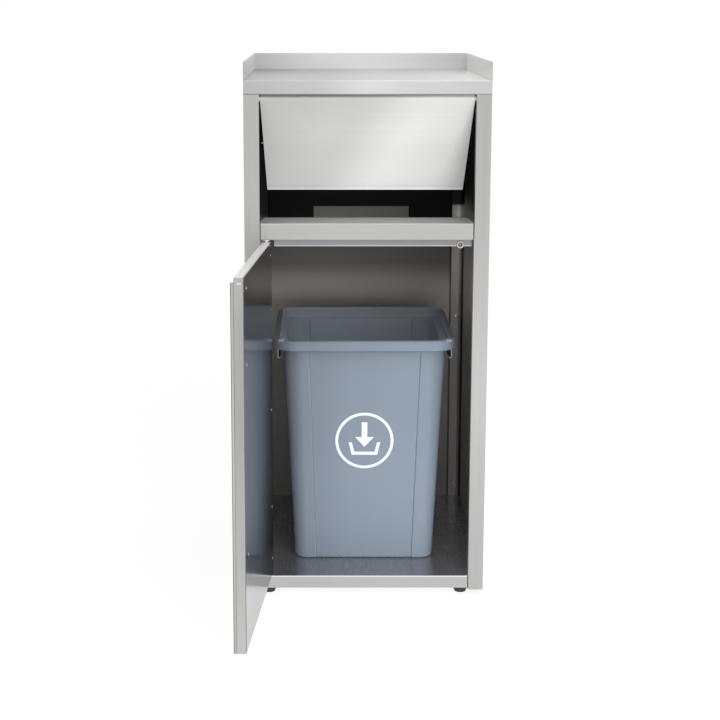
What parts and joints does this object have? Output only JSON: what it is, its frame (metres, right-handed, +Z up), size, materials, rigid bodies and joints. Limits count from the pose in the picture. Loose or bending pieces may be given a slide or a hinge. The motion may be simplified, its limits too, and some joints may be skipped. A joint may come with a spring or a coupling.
{
  "type": "waste bin cabinet",
  "caption": "Free-standing stainless steel waste cabinet with a railed tray top, push flap, hinged door and a lift-out plastic inner bin.",
  "frame": {"origin": "middle of the whole part's footprint at floor level, measured with the door standing open as stored; the cabinet itself stands 206.5 mm behind it", "axes": "+Z up, -Y out of the cabinet's front, +X to the right as seen from the front"},
  "size_m": [0.5062, 0.9627, 1.122],
  "materials": {
    "cabinet_steel": "fine satin",
    "inner_steel": "bright polished",
    "hardware_steel": "bright zinc",
    "magnet_plate": "nickel plated",
    "nylon": "satin",
    "black_rubber": "matte",
    "bin_plastic": "satin moulded"
  },
  "bodies": {
    "cabinet": {"side_panel_left": "cabinet_steel", "side_panel_right": "cabinet_steel", "back_panel": "cabinet_steel", "back_panel_rivets": "hardware_steel", "side_wall_rivets": "hardware_steel", "gallery_rail": "cabinet_steel", "tray_top": "cabinet_steel", "base_tray": "cabinet_steel", "base_channels": "inner_steel", "foot_nuts": "hardware_steel", "middle_rail": "cabinet_steel", "door_stop_strip": "cabinet_steel", "door_catch_magnet": "magnet_plate", "door_catch_screw": "hardware_steel", "door_pivot_bushes": "nylon", "flap_pivot_bushes": "nylon"},
    "door": {"door_outer_pan": "cabinet_steel", "door_inner_skin": "inner_steel", "door_skin_rivets": "hardware_steel", "door_pull": "cabinet_steel", "door_pivot_blocks": "hardware_steel", "door_pivot_pins": "hardware_steel"},
    "flap": {"flap_pan": "cabinet_steel", "flap_back_skin": "inner_steel", "flap_pivot_brackets": "hardware_steel", "flap_pivot_pins": "hardware_steel"},
    "bin": {"inner_bin": "bin_plastic"},
    "foot_front_left": {"foot_pad_front_left": "black_rubber", "foot_stud_front_left": "hardware_steel"},
    "foot_front_right": {"foot_pad_front_right": "black_rubber", "foot_stud_front_right": "hardware_steel"},
    "foot_back_left": {"foot_pad_back_left": "black_rubber", "foot_stud_back_left": "hardware_steel"},
    "foot_back_right": {"foot_pad_back_right": "black_rubber", "foot_stud_back_right": "hardware_steel"}
  },
  "joints": [
    {"name": "door_swing", "type": "hinge", "parent": "cabinet", "child": "door", "pos_m": [-0.2055, -0.0605, 0.4], "axis": [0, 0, -1], "range_deg": [-95, 10]},
    {"name": "flap_swing", "type": "hinge", "parent": "cabinet", "child": "flap", "pos_m": [0, -0.0595, 1.048], "axis": [1, 0, 0], "range_deg": [-36, 30]},
    {"name": "bin_slide", "type": "slide", "parent": "cabinet", "child": "bin", "axis": [0, -1, 0], "range_m": [0, 0.46]},
    {"name": "foot_front_left_turn", "type": "hinge", "parent": "cabinet", "child": "foot_front_left", "pos_m": [-0.204, -0.0435, 0.02], "axis": [0, 0, 1], "continuous": true},
    {"name": "foot_front_right_turn", "type": "hinge", "parent": "cabinet", "child": "foot_front_right", "pos_m": [0.204, -0.0435, 0.02], "axis": [0, 0, 1], "continuous": true},
    {"name": "foot_back_left_turn", "type": "hinge", "parent": "cabinet", "child": "foot_back_left", "pos_m": [-0.204, 0.4455, 0.02], "axis": [0, 0, 1], "continuous": true},
    {"name": "foot_back_right_turn", "type": "hinge", "parent": "cabinet", "child": "foot_back_right", "pos_m": [0.204, 0.4455, 0.02], "axis": [0, 0, 1], "continuous": true}
  ]
}
